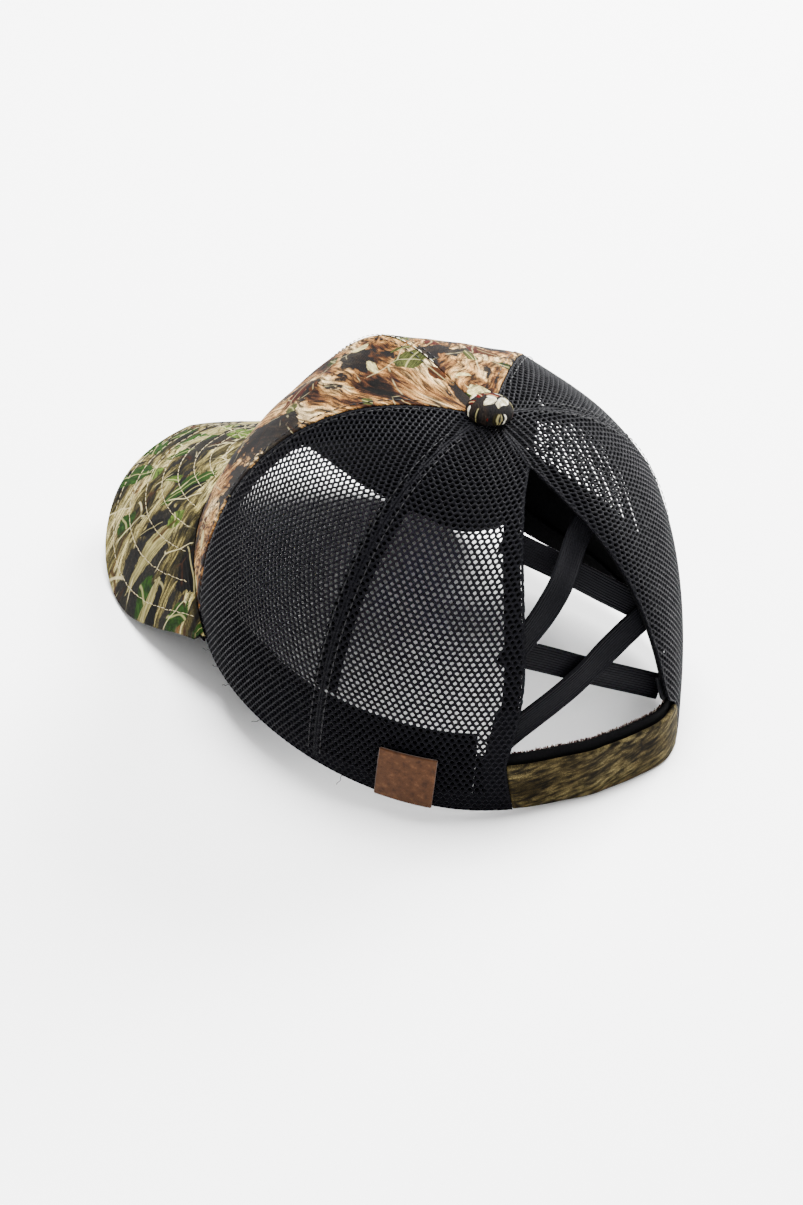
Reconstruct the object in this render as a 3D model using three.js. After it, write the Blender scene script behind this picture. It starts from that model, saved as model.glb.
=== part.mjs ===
// A ponytail baseball cap, in millimetres, +Z up.
// The brim points to -Y, the wearer's left is +X and the ponytail opening faces +Y.
//
// The crown is one smooth surface, crown(turn, climb): turn is the angle around the head from the
// front, and climb runs from 0 at the hem to 1 at the button. Every cloth piece is a wall laid at
// some depth under that surface, so the panels, tapes, band and straps all follow it.
import * as THREE from 'three';
import { LoftGeometry } from 'three/addons/geometries/LoftGeometry.js';
import { mergeGeometries } from 'three/addons/utils/BufferGeometryUtils.js';

// Hem oval
const HALF_LENGTH = 103;
const HALF_WIDTH = 83;
const FRONT_ARCH = 16;

// How far the hem stretches past a plain oval on each side, by the angle from the front.
// The back band pulls the right rear corner out and the left one in.
const HEM_SHAPE = [
  { turn: 0, left: 1.06, right: 1.06 },
  { turn: 30, left: 1.035, right: 1.035 },
  { turn: 60, left: 1.0, right: 1.0 },
  { turn: 90, left: 1.01, right: 1.0 },
  { turn: 120, left: 1.017, right: 1.002 },
  { turn: 140, left: 1.008, right: 1.008 },
  { turn: 157, left: 0.982, right: 1.035 },
  { turn: 169, left: 0.968, right: 1.0 },
  { turn: 180, left: 0.979, right: 0.979 },
];

// Crown: reach closes in as a power of cos, rise climbs as a power of sin, swell is the belly
// and crest is how far the cloth stands up past the button's height near the top
const CROWN_HEIGHT = 108;
const BUTTON_BACK = 15;
const CREST_PEAK = 12.2;
const CROWN_SHAPE = {
  front: { reach: 0.57, rise: 1.08, swell: -0.1, crest: 3.5 },
  side: { reach: 0.78, rise: 1.0, swell: 0.072, crest: 2 },
  rear: { reach: 0.97, rise: 1.05, swell: -0.055, crest: 0 },
};

// Seams, as angles from the front, and how much the cloth sags between them
const FRONT_SEAM = 63;
const REAR_SEAM = 111;
const FRONT_SAG = 4.5;
const SIDE_SAG = 2;
const REAR_SAG = 1;

// Ponytail opening: angle from the back centre to each edge, by climb
const OPENING_TOP = 0.79;
const OPENING = [
  { climb: 0, left: 23.5, right: 28 },
  { climb: 0.115, left: 26, right: 27.8 },
  { climb: 0.15, left: 25, right: 24 },
  { climb: 0.27, left: 22.3, right: 22 },
  { climb: 0.395, left: 21.5, right: 20.5 },
  { climb: 0.48, left: 21, right: 19 },
  { climb: 0.565, left: 20, right: 16.2 },
  { climb: 0.65, left: 17.3, right: 12 },
  { climb: 0.72, left: 12.5, right: 7.2 },
  { climb: OPENING_TOP, left: 2.5, right: 1.5 },
];

// Cloth
const CLOTH = 1.5;
const GAP = 0.3;
const SEAT = GAP + 0.1;

// Brim
const BRIM_TURN = 70;
const BRIM_HALF_WIDTH = 78.3;
const BRIM_REACH = 136.5;
const BRIM_THICK = 3;
const BRIM_TIP_THICK = 1.8;
const BRIM_DOME = 2;
const BRIM_EDGE = [
  { sweep: 0, left: -14.2, right: -14.2 },
  { sweep: 30, left: -21, right: -21 },
  { sweep: 45, left: -27.5, right: -27.5 },
  { sweep: 60, left: -31.8, right: -31.8 },
  { sweep: 72, left: -28.5, right: -29.8 },
  { sweep: 82, left: -16, right: -23 },
  { sweep: 90, left: 0, right: 0 },
];
// The right wing curls in by this share of the width
const BRIM_CURL = 0.13;

// Bands inside and behind the hem
const SWEATBAND_TALL = 30;
const BAND_TALL = 18;
const BAND_THICK = 1.8;
const LINING_TALL = 21.5;
const LINING_THICK = 1.2;
const LINING_LAP = 11;

// Tapes and the bound edges of the opening
const TAPE_WIDE = 10;
const TAPE_THICK = 0.9;
const HEM_WIDE = 7;
const HEM_THICK = 1;

// Elastic straps: height of each end on the left and right edges, and the layer they are sewn in.
// Each one crosses its partner, and shares a sewn end on one side with the strap it meets.
const STRAP_WIDE = 9.5;
const STRAP_THICK = 1;
const STRAP_LAP = 5.5;
const STRAP_SEAT = 0.9;
const STRAP_STEP = 1.7;
const STRAPS = {
  strap_upper_left: {
    left: 89.5,
    right: 58,
    layer: 2,
    bow: 1.6,
    crosses: 'strap_upper_right',
    meets: 'strap_lower_right',
    side: 1,
  },
  strap_upper_right: {
    left: 51.5,
    right: 90,
    layer: 1,
    bow: 6.5,
    crosses: 'strap_upper_left',
    meets: 'strap_lower_left',
    side: -1,
  },
  strap_lower_left: {
    left: 57.5,
    right: 24,
    layer: 2,
    bow: 1.5,
    crosses: 'strap_lower_right',
    meets: 'strap_upper_right',
    side: -1,
  },
  strap_lower_right: {
    left: 22,
    right: 55,
    layer: 1,
    bow: 2.5,
    crosses: 'strap_lower_left',
    meets: 'strap_upper_left',
    side: 1,
  },
};

// Button and label
const BUTTON_RADIUS = 8.3;
const BUTTON_TALL = 5.6;
const BUTTON_SEAT = 0.6;
const LABEL = { from: 125.5, to: 138, low: 0.4, high: 20.2, thick: 1.2 };

const COLOURS = {
  print: 0x8d7d5c,
  mesh: 0x1c1c20,
  elastic: 0x18181b,
  suede: 0x8a5c3c,
};

const degrees = THREE.MathUtils.degToRad;
const lerp = THREE.MathUtils.lerp;

// A smooth curve through the rows of a table; level ends leave with no slope
function along(rows, key, value, x, level = false) {
  const last = rows.length - 1;
  const t = THREE.MathUtils.clamp(x, rows[0][key], rows[last][key]);
  let i = 0;
  while (i < last - 1 && t > rows[i + 1][key]) i += 1;
  const slope = (k) => {
    if (level && (k === 0 || k === last)) return 0;
    const a = rows[Math.max(k - 1, 0)];
    const b = rows[Math.min(k + 1, last)];
    return (b[value] - a[value]) / (b[key] - a[key]);
  };
  const p = rows[i];
  const q = rows[i + 1];
  const step = q[key] - p[key];
  const u = (t - p[key]) / step;
  const blend = u * u * (3 - 2 * u);
  const lift = step * u * (1 - u);
  return lerp(p[value], q[value], blend) + lift * ((1 - u) * slope(i) - u * slope(i + 1));
}

// The angle from the front, on either side
const fromFront = (turn) => Math.abs(THREE.MathUtils.euclideanModulo(turn + 180, 360) - 180);

// The hem line at an angle from the front
function hem(turn) {
  const s = Math.sin(degrees(turn));
  const c = Math.cos(degrees(turn));
  const stretch = along(HEM_SHAPE, 'turn', s > 0 ? 'left' : 'right', fromFront(turn), true);
  const front = THREE.MathUtils.smoothstep(c, 0.2, 1);
  return new THREE.Vector3(HALF_WIDTH * s * stretch, -HALF_LENGTH * c * stretch, FRONT_ARCH * front);
}

// The smooth crown surface
function crown(turn, climb) {
  const s = Math.sin(degrees(turn));
  const c = Math.cos(degrees(turn));
  const share = { front: Math.max(c, 0) ** 2, side: s * s, rear: Math.max(-c, 0) ** 2 };
  const mix = (key) => (
    share.front * CROWN_SHAPE.front[key]
    + share.side * CROWN_SHAPE.side[key]
    + share.rear * CROWN_SHAPE.rear[key]
  );
  const t = climb * Math.PI / 2;
  const reach = Math.max(Math.cos(t), 0) ** mix('reach') + mix('swell') * Math.sin(2 * t);
  const rise = Math.sin(t) ** mix('rise');
  const crest = mix('crest') * CREST_PEAK * climb ** 4 * (1 - climb);
  const base = hem(turn);
  return new THREE.Vector3(
    base.x * reach,
    lerp(BUTTON_BACK, base.y, reach),
    lerp(base.z, CROWN_HEIGHT, rise) + crest,
  );
}

// Outward direction of the crown surface
function outward(turn, climb) {
  const t = THREE.MathUtils.clamp(climb, 0.002, 0.99);
  const across = crown(turn + 0.1, t).sub(crown(turn - 0.1, t));
  const up = crown(turn, t + 0.001).sub(crown(turn, t - 0.001));
  return across.cross(up).normalize();
}

// How far the cloth sags below the smooth surface between its seams
function sag(turn, climb) {
  const angle = fromFront(turn);
  const spans = [
    { from: 0, to: FRONT_SEAM, deep: FRONT_SAG },
    { from: FRONT_SEAM, to: REAR_SEAM, deep: SIDE_SAG },
    { from: REAR_SEAM, to: 180, deep: REAR_SAG },
  ];
  const span = spans.find((row) => angle <= row.to);
  const u = (angle - span.from) / (span.to - span.from);
  return span.deep * 4 * u * (1 - u) * Math.sin(Math.PI * climb);
}

// A point of the cloth at a depth under its outer face
function skin(turn, climb, depth) {
  return crown(turn, climb).addScaledVector(outward(turn, climb), -sag(turn, climb) - depth);
}

// The angle that is some millimetres further around the crown
function around(turn, climb, distance) {
  const t = Math.min(climb, 0.995);
  const perDegree = crown(turn + 0.5, t).distanceTo(crown(turn - 0.5, t));
  return turn + distance / perDegree;
}

// The climb at a height above the hem plane
function climbAt(turn, height) {
  let low = 0;
  let high = 1;
  for (let i = 0; i < 30; i += 1) {
    const middle = (low + high) / 2;
    if (crown(turn, middle).z < height) low = middle;
    else high = middle;
  }
  return low;
}

// Climbs at even distances along the crown
function evenClimbs(turn, from, to, count) {
  const samples = 300;
  const lengths = [0];
  for (let i = 1; i <= samples; i += 1) {
    const a = crown(turn, lerp(from, to, (i - 1) / samples));
    const b = crown(turn, lerp(from, to, i / samples));
    lengths.push(lengths[i - 1] + a.distanceTo(b));
  }
  return Array.from({ length: count + 1 }, (_, k) => {
    const goal = lengths[samples] * k / count;
    let i = 1;
    while (i < samples && lengths[i] < goal) i += 1;
    const part = (goal - lengths[i - 1]) / (lengths[i] - lengths[i - 1]);
    return lerp(from, to, (i - 1 + part) / samples);
  });
}

// A closed solid through wall rows, with its two ends closed and its faces pointing out
function loft(rows) {
  const half = rows[0].length / 2;
  const outer = (row) => row.slice(0, half);
  const inner = (row) => row.slice(half).reverse();
  const first = rows[0];
  const last = rows[rows.length - 1];
  const shape = mergeGeometries([
    new LoftGeometry(rows),
    new LoftGeometry([inner(first), outer(first)], { closed: false }),
    new LoftGeometry([outer(last), inner(last)], { closed: false }),
  ]);
  const p = shape.getAttribute('position');
  const index = shape.getIndex();
  const corner = (i) => new THREE.Vector3().fromBufferAttribute(p, index.getX(i));
  let volume = 0;
  for (let i = 0; i < index.count; i += 3) {
    volume += corner(i).dot(corner(i + 1).cross(corner(i + 2)));
  }
  return volume > 0 ? shape : loft([...rows].reverse());
}

// A wall between two depths: point(u, depth) walks along one row from u = 0 to 1
function wallRow(point, columns, outer, inner) {
  const steps = Array.from({ length: columns + 1 }, (_, i) => i / columns);
  const out = steps.map((u) => point(u, outer));
  const back = steps.reverse().map((u) => point(u, inner));
  return [...out, ...back];
}

// A crown panel between two edges, from the hem up
function panel(from, to, rows, columns) {
  const middle = (from(0) + to(0)) / 2;
  const climbs = evenClimbs(middle, 0, 0.9985, rows);
  return loft(climbs.map((climb) => {
    const a = around(from(climb), climb, GAP / 2);
    const b = around(to(climb), climb, -GAP / 2);
    return wallRow((u, depth) => skin(lerp(a, b, u), climb, depth), columns, 0, CLOTH);
  }));
}

// A strip that follows an edge up the crown, between two distances from it
function strip(edge, from, to, low, high, rows, depth, thick) {
  const climbs = evenClimbs(edge(0.3), low, high, rows);
  return loft(climbs.map((climb) => {
    const a = around(edge(climb), climb, from);
    const b = around(edge(climb), climb, to);
    return wallRow((u, d) => skin(lerp(a, b, u), climb, d), 2, depth, depth + thick);
  }));
}

// A level band around the hem, between two upright edges and two heights
function band(from, to, low, high, count, depth, thick) {
  return loft(Array.from({ length: count + 1 }, (_, i) => wallRow((u, d) => {
    const height = lerp(low, high, u);
    const near = lerp(from(0), to(0), i / count);
    const climb = climbAt(near, hem(near).z + height);
    const turn = lerp(from(climb), to(climb), i / count);
    return skin(turn, climbAt(turn, hem(turn).z + height), d);
  }, 2, depth, depth + thick)));
}

// Edges of the opening, as angles from the front; side is 1 on the left and -1 on the right
function openingEdge(climb, side) {
  const key = side > 0 ? 'left' : 'right';
  return 180 - along(OPENING, 'climb', key, climb);
}

function rearEdge(climb, side) {
  return climb < OPENING_TOP ? openingEdge(climb, side) : 180;
}

// The brim spreads from the hem to its outer edge; sweep runs from -90 to 90 across it
function brim() {
  const tip = hem(BRIM_TURN);
  const seat = (turn, height) => {
    const climb = climbAt(turn, hem(turn).z + Math.max(height, 0));
    const point = skin(turn, climb, -SEAT);
    point.z += Math.min(height, 0);
    return point;
  };
  const edge = (sweep) => {
    const s = Math.sin(degrees(sweep));
    const angle = Math.abs(sweep);
    const wing = THREE.MathUtils.smoothstep(angle, 25, 55) - THREE.MathUtils.smoothstep(angle, 78, 90);
    const curl = sweep < 0 ? BRIM_CURL * wing : 0;
    return new THREE.Vector3(
      BRIM_HALF_WIDTH * (1 - curl) * Math.sign(s) * Math.abs(s) ** 0.97,
      tip.y - BRIM_REACH * Math.cos(degrees(sweep)) ** 0.72,
      along(BRIM_EDGE, 'sweep', sweep > 0 ? 'left' : 'right', angle),
    );
  };
  const root = (sweep) => {
    const s = Math.sin(degrees(sweep)) * Math.sin(degrees(BRIM_TURN));
    return seat(THREE.MathUtils.radToDeg(Math.asin(s)), 1.2);
  };
  const middle = (sweep, v) => {
    const point = root(sweep).lerp(edge(sweep), v);
    point.z += BRIM_DOME * 4 * v * (1 - v);
    return point;
  };
  const normal = (sweep, v) => {
    const a = THREE.MathUtils.clamp(sweep, -88, 88);
    const b = THREE.MathUtils.clamp(v, 0.02, 0.98);
    const across = middle(a + 0.5, b).sub(middle(a - 0.5, b));
    const outwards = middle(a, b - 0.02).sub(middle(a, b + 0.02));
    return across.cross(outwards).normalize();
  };
  const count = 32;
  return loft(Array.from({ length: count + 1 }, (_, i) => {
    const k = 2 * i / count - 1;
    const turn = 0.9998 * BRIM_TURN * k * (1.35 - 0.35 * k * k);
    const s = Math.sin(degrees(turn)) / Math.sin(degrees(BRIM_TURN));
    const sweep = THREE.MathUtils.radToDeg(Math.asin(s));
    const point = (v, depth) => {
      if (v === 0) return seat(turn, 1.2 - depth);
      return middle(sweep, v).addScaledVector(normal(sweep, v), -depth);
    };
    const tip = THREE.MathUtils.smoothstep(Math.abs(sweep), 72, 89);
    const half = lerp(BRIM_THICK, BRIM_TIP_THICK, tip) / 2;
    return wallRow(point, 6, -half, half);
  }));
}

// The line of a strap between its sewn ends, under the two bound edges
function strapLine({ left, right, layer }) {
  const depth = CLOTH + SEAT + HEM_THICK + STRAP_SEAT + (layer - 1) * STRAP_STEP;
  const end = (side, height) => {
    const climb = climbAt(180, height);
    return skin(side * around(openingEdge(climb, side), climb, -STRAP_LAP), climb, depth);
  };
  return new THREE.Line3(end(1, left), end(-1, right));
}

// The outward direction square to two straps
function facing(a, b) {
  const run = (name) => strapLine(STRAPS[name]).delta(new THREE.Vector3());
  const face = run(a).cross(run(b)).normalize();
  return face.y < 0 ? face.negate() : face;
}

// An elastic strap, flat against its partner where they cross and against the other at its end
function strap(name) {
  const { bow, crosses, meets, side } = STRAPS[name];
  const line = strapLine(STRAPS[name]);
  const run = line.delta(new THREE.Vector3()).normalize();
  const count = 12;
  return loft(Array.from({ length: count + 1 }, (_, i) => {
    const u = i / count;
    const turned = THREE.MathUtils.smoothstep(side > 0 ? u : 1 - u, 0.55, 0.78);
    const face = facing(name, crosses).lerp(facing(name, meets), turned).normalize();
    const across = new THREE.Vector3().crossVectors(run, face).normalize();
    const lift = bow * (4 * u * (1 - u)) ** 3;
    const centre = line.at(u, new THREE.Vector3()).addScaledVector(face, lift);
    return wallRow((v, depth) => centre.clone()
      .addScaledVector(across, (v - 0.5) * STRAP_WIDE)
      .addScaledVector(face, -depth), 2, 0, STRAP_THICK);
  }));
}

// A covered button, turned about its own upright axis
function button() {
  const profile = [
    { radius: 0, level: 0 },
    { radius: 0.93, level: 0 },
    { radius: 1, level: 0.2 },
    { radius: 0.97, level: 0.48 },
    { radius: 0.78, level: 0.8 },
    { radius: 0.43, level: 0.96 },
    { radius: 0, level: 1 },
  ].map((row) => new THREE.Vector2(row.radius * BUTTON_RADIUS, row.level * BUTTON_TALL));
  return new THREE.LatheGeometry(profile, 24).rotateX(Math.PI / 2);
}

// A small square patch outside the left rear hem, turned a little under it
function label() {
  const heights = [0, 0.1, 0.4, 0.7, 1].map((u) => lerp(LABEL.low, LABEL.high, u));
  return loft(heights.map((height) => {
    const point = (u, depth) => {
      const turn = lerp(LABEL.from, LABEL.to, u);
      const place = skin(turn, climbAt(turn, Math.max(height, 0)), depth);
      place.z += Math.min(height, 0);
      return place;
    };
    return wallRow(point, 6, -SEAT - LABEL.thick, -SEAT);
  }));
}

const cap = new THREE.Group();

function add(name, geometry, color, roughness = 0.95) {
  const material = new THREE.MeshStandardMaterial({ color, roughness, metalness: 0 });
  const mesh = new THREE.Mesh(geometry, material);
  mesh.name = name;
  cap.add(mesh);
  return mesh;
}

// A pair of pieces on the left and the right of the cap
function pair(name, make, color) {
  add(`${name}_left`, make(1), color);
  add(`${name}_right`, make(-1), color);
}

const ordered = (side, a, b) => (side > 0 ? [a, b] : [b, a]);

pair('front_panel', (side) => {
  const edges = ordered(side, () => 0, () => side * FRONT_SEAM);
  return panel(...edges, 14, 10);
}, COLOURS.print);

pair('side_panel', (side) => {
  const edges = ordered(side, () => side * FRONT_SEAM, () => side * REAR_SEAM);
  return panel(...edges, 14, 8);
}, COLOURS.mesh);

pair('rear_panel', (side) => {
  const edges = ordered(side, () => side * REAR_SEAM, (climb) => side * rearEdge(climb, side));
  return panel(...edges, 24, 8);
}, COLOURS.mesh);

add('brim', brim(), COLOURS.print);

const under = CLOTH + SEAT;
const leftEdge = (climb) => openingEdge(climb, 1);
const rightEdge = (climb) => -openingEdge(climb, -1);
const lapStart = around(leftEdge(0.1), 0, -LINING_LAP);
const lapEnd = around(rightEdge(0.1), 0, LINING_LAP);
add('sweatband', band(
  () => around(lapEnd, 0, GAP),
  () => around(lapStart, 0, -GAP),
  1,
  SWEATBAND_TALL,
  56,
  under,
  CLOTH,
), COLOURS.mesh);
add('back_band', band(
  (climb) => around(leftEdge(climb), climb, GAP / 2),
  (climb) => 360 + around(rightEdge(climb), climb, -GAP / 2),
  0,
  BAND_TALL,
  16,
  0,
  BAND_THICK,
), COLOURS.print);
add('back_band_lining', band(
  () => lapStart,
  () => 360 + lapEnd,
  1,
  LINING_TALL,
  20,
  BAND_THICK + SEAT,
  LINING_THICK,
), COLOURS.elastic);

// The climb just above the sweatband
const foot = (turn) => climbAt(turn, hem(turn).z + SWEATBAND_TALL + 2);

pair('seam_tape_front', (side) => strip(
  () => side * FRONT_SEAM,
  -TAPE_WIDE / 2,
  TAPE_WIDE / 2,
  foot(FRONT_SEAM),
  0.975,
  14,
  under,
  TAPE_THICK,
), COLOURS.mesh);
pair('seam_tape_rear', (side) => strip(
  () => side * REAR_SEAM,
  -TAPE_WIDE / 2,
  TAPE_WIDE / 2,
  foot(REAR_SEAM),
  0.93,
  14,
  under,
  TAPE_THICK,
), COLOURS.mesh);

pair('opening_hem', (side) => strip(
  (climb) => side * openingEdge(climb, side),
  side * -HEM_WIDE,
  side * -0.3,
  foot(180),
  OPENING_TOP - 0.015,
  16,
  under,
  HEM_THICK,
), COLOURS.elastic);

for (const name of Object.keys(STRAPS)) add(name, strap(name), COLOURS.elastic);

const top = CROWN_HEIGHT + BUTTON_SEAT;
add('button', button(), COLOURS.print).position.set(0, BUTTON_BACK, top);
add('label', label(), COLOURS.suede);

// The cap rests on the brim's two low sides and on the back hem: it leans back until both are level
function lowest(angle, side) {
  const turned = new THREE.Matrix4().makeRotationX(angle);
  const point = new THREE.Vector3();
  let low = Infinity;
  for (const mesh of cap.children) {
    mesh.updateMatrix();
    const p = mesh.geometry.getAttribute('position');
    for (let i = 0; i < p.count; i += 1) {
      point.fromBufferAttribute(p, i).applyMatrix4(mesh.matrix);
      if (Math.sign(point.y) === side) low = Math.min(low, point.applyMatrix4(turned).z);
    }
  }
  return low;
}

let lean = [-0.4, 0.4];
for (let i = 0; i < 30; i += 1) {
  const middle = (lean[0] + lean[1]) / 2;
  lean = lowest(middle, -1) > lowest(middle, 1) ? [middle, lean[1]] : [lean[0], middle];
}
cap.rotation.x = lean[0];

// The origin is at the middle of the bottom of the bounding box
const root = new THREE.Group();
root.add(cap);
root.updateMatrixWorld(true);
const box = new THREE.Box3().setFromObject(root, true);
const centre = box.getCenter(new THREE.Vector3());
cap.position.set(-centre.x, -centre.y, -box.min.z);

export default root;
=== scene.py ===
# %% [markdown]
# # A ponytail baseball cap
#
# The front is printed cotton twill, the sides and back are open polyester mesh, and four ribbed
# elastics cross the opening at the back. The shape comes from one smooth crown surface, worked out
# with numpy in millimetres, and every piece of cloth is laid at its own depth under that surface.

# %% Start
import math

import bpy
import numpy as np
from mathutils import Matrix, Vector


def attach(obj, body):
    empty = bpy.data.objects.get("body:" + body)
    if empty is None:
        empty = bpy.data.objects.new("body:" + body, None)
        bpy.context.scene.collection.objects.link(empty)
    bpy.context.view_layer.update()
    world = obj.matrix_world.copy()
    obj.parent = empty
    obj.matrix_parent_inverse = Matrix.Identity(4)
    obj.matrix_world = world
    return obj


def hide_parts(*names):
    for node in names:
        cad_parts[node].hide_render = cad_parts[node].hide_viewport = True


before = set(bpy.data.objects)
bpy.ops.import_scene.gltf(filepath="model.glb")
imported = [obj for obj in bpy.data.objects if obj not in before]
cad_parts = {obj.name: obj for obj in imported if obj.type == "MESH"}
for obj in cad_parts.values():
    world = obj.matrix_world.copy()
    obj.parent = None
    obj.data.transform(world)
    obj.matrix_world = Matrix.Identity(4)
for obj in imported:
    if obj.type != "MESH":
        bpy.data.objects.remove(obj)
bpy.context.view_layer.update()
rng = np.random.default_rng(7)
print("frame loaded, nodes:", len(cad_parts))

# %% [markdown]
# ## The crown as a surface
#
# A point of the crown has two coordinates. turn is the angle around the head from the front, in
# degrees, positive to the wearer's left. climb runs from 0 at the hem to 1 at the button. A crown
# could also be sculpted by hand, but a formula keeps the seams, tapes and straps together.

# %% Sizes in millimetres
HALF_LENGTH, HALF_WIDTH, FRONT_ARCH = 103, 83, 16
CROWN_HEIGHT, BUTTON_BACK, CREST_PEAK = 108, 15, 12.2
LEAN = math.radians(-8.757206)
SHIFT = np.array([-0.4523, 36.1751, 15.41])

# turn, then the stretch past a plain oval
HEM_LEFT = [(0, 1.06), (30, 1.035), (60, 1.0), (90, 1.01), (120, 1.017), (140, 1.008),
            (157, 0.982), (169, 0.968), (180, 0.979)]
HEM_RIGHT = [(0, 1.06), (30, 1.035), (60, 1.0), (90, 1.0), (120, 1.002), (140, 1.008),
             (157, 1.035), (169, 1.0), (180, 0.979)]

# reach, rise, swell and crest of the front, the sides and the rear
CROWN_SHAPE = np.array([(0.57, 1.08, -0.1, 3.5), (0.78, 1.0, 0.072, 2), (0.97, 1.05, -0.055, 0)])
REACH, RISE, SWELL, CREST = range(4)
FRONT_SEAM, REAR_SEAM = 63, 111
SAGS = [(0, FRONT_SEAM, 4.5), (FRONT_SEAM, REAR_SEAM, 2), (REAR_SEAM, 180, 1)]

# climb, then the angle from the back centre to the edge of the opening
OPENING_TOP = 0.79
OPEN_LEFT = [(0, 23.5), (0.115, 26), (0.15, 25), (0.27, 22.3), (0.395, 21.5), (0.48, 21),
             (0.565, 20), (0.65, 17.3), (0.72, 12.5), (OPENING_TOP, 2.5)]
OPEN_RIGHT = [(0, 28), (0.115, 27.8), (0.15, 24), (0.27, 22), (0.395, 20.5), (0.48, 19),
              (0.565, 16.2), (0.65, 12), (0.72, 7.2), (OPENING_TOP, 1.5)]

CLOTH, GAP, SEAT = 1.5, 0.3, 0.4
SWEATBAND_TALL, BAND_TALL, BAND_THICK = 30, 18, 1.8
LINING_TALL, LINING_THICK, LINING_LAP = 21.5, 1.2, 11
TAPE_WIDE, TAPE_THICK, HEM_WIDE, HEM_THICK = 10, 0.9, 7, 1
UNDER = CLOTH + SEAT
print("crown", 2 * HALF_WIDTH, "x", 2 * HALF_LENGTH, "x", CROWN_HEIGHT, "mm")


# %% The surface
def along(rows, x, level=False):
    """Smooth curve through a table: with u inside a step from p to q it is
    p + (q - p) u²(3 - 2u) + step u(1 - u)((1 - u) slope_p - u slope_q)."""
    key, value = np.asarray(rows, float).T
    low = np.maximum(np.arange(len(key)) - 1, 0)
    high = np.minimum(np.arange(len(key)) + 1, len(key) - 1)
    slope = (value[high] - value[low]) / (key[high] - key[low])
    if level:
        slope[[0, -1]] = 0
    t = np.clip(x, key[0], key[-1])
    i = np.clip(np.searchsorted(key, t) - 1, 0, len(key) - 2)
    step = key[i + 1] - key[i]
    u = (t - key[i]) / step
    blend = u * u * (3 - 2 * u)
    lift = step * u * (1 - u) * ((1 - u) * slope[i] - u * slope[i + 1])
    return value[i] + (value[i + 1] - value[i]) * blend + lift


def smooth(x, low, high):
    u = np.clip((x - low) / (high - low), 0, 1)
    return u * u * (3 - 2 * u)


def from_front(turn):
    return np.abs((turn + 180) % 360 - 180)


def hem(turn):
    """Hem oval (W sin, -L cos) times its stretch, lifted over the forehead."""
    s, c = np.sin(np.radians(turn)), np.cos(np.radians(turn))
    angle = from_front(turn)
    stretch = np.where(s > 0, along(HEM_LEFT, angle, True), along(HEM_RIGHT, angle, True))
    return np.stack([HALF_WIDTH * s * stretch, -HALF_LENGTH * c * stretch,
                     FRONT_ARCH * smooth(c, 0.2, 1)], -1)


def crown(turn, climb):
    """With t = climb 90°: reach = cos(t)^a + b sin(2t) draws the hem in towards the button,
    and rise = sin(t)^c lifts it, where a, b and c blend by cos² and sin² of the turn."""
    turn, climb = np.broadcast_arrays(np.asarray(turn, float), np.asarray(climb, float))
    s, c = np.sin(np.radians(turn)), np.cos(np.radians(turn))
    share = np.stack([np.maximum(c, 0) ** 2, s * s, np.maximum(-c, 0) ** 2], -1)
    shape = share @ CROWN_SHAPE
    t = climb * np.pi / 2
    reach = np.maximum(np.cos(t), 0) ** shape[..., REACH] + shape[..., SWELL] * np.sin(2 * t)
    rise = np.maximum(np.sin(t), 0) ** shape[..., RISE]
    crest = shape[..., CREST] * CREST_PEAK * climb ** 4 * (1 - climb)
    base = hem(turn)
    return np.stack([base[..., 0] * reach,
                     BUTTON_BACK + (base[..., 1] - BUTTON_BACK) * reach,
                     base[..., 2] + (CROWN_HEIGHT - base[..., 2]) * rise + crest], -1)


def unit(v):
    return v / np.maximum(np.linalg.norm(v, axis=-1, keepdims=True), 1e-9)


def outward(turn, climb):
    """Normal: the cross product of the steps around and up the crown."""
    t = np.clip(climb, 0.002, 0.99)
    side = crown(turn + 0.1, t) - crown(turn - 0.1, t)
    up = crown(turn, t + 0.001) - crown(turn, t - 0.001)
    return unit(np.cross(side, up))


def sag(turn, climb):
    """Each panel hangs in by deep 4u(1 - u) sin(pi climb) between its seams."""
    angle = from_front(turn)
    result = np.zeros(np.broadcast(angle, climb).shape)
    for low, high, deep in SAGS:
        u = (angle - low) / (high - low)
        inside = (u >= 0) & (u <= 1)
        result = np.where(inside, deep * 4 * u * (1 - u) * np.sin(np.pi * climb), result)
    return result


def skin(turn, climb, depth):
    """A point of the cloth at a depth under its outer face."""
    turn, climb, depth = np.broadcast_arrays(*(np.asarray(a, float) for a in (turn, climb, depth)))
    return crown(turn, climb) - outward(turn, climb) * (sag(turn, climb) + depth)[..., None]


def around(turn, climb, distance):
    """The angle some millimetres further around the crown."""
    t = np.minimum(climb, 0.995)
    span = np.linalg.norm(crown(turn + 0.5, t) - crown(turn - 0.5, t), axis=-1)
    return turn + distance / span


def climb_at(turn, height):
    """The climb at a height, found by halving."""
    turn, height = np.broadcast_arrays(np.asarray(turn, float), np.asarray(height, float))
    low, high = np.zeros(turn.shape), np.ones(turn.shape)
    for _ in range(26):
        middle = (low + high) / 2
        under = crown(turn, middle)[..., 2] < height
        low, high = np.where(under, middle, low), np.where(under, high, middle)
    return low


def even_climbs(turn, low, high, count):
    """Climbs at even distances up the crown."""
    samples = np.linspace(low, high, 400)
    steps = np.linalg.norm(np.diff(crown(turn, samples), axis=0), axis=1)
    length = np.concatenate([[0], np.cumsum(steps)])
    return np.interp(np.linspace(0, length[-1], count), length, samples)


def opening_edge(climb, side):
    return 180 - along(OPEN_LEFT if side > 0 else OPEN_RIGHT, climb)


def rear_edge(climb, side):
    return np.where(climb < OPENING_TOP, opening_edge(climb, side), 180)


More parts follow.
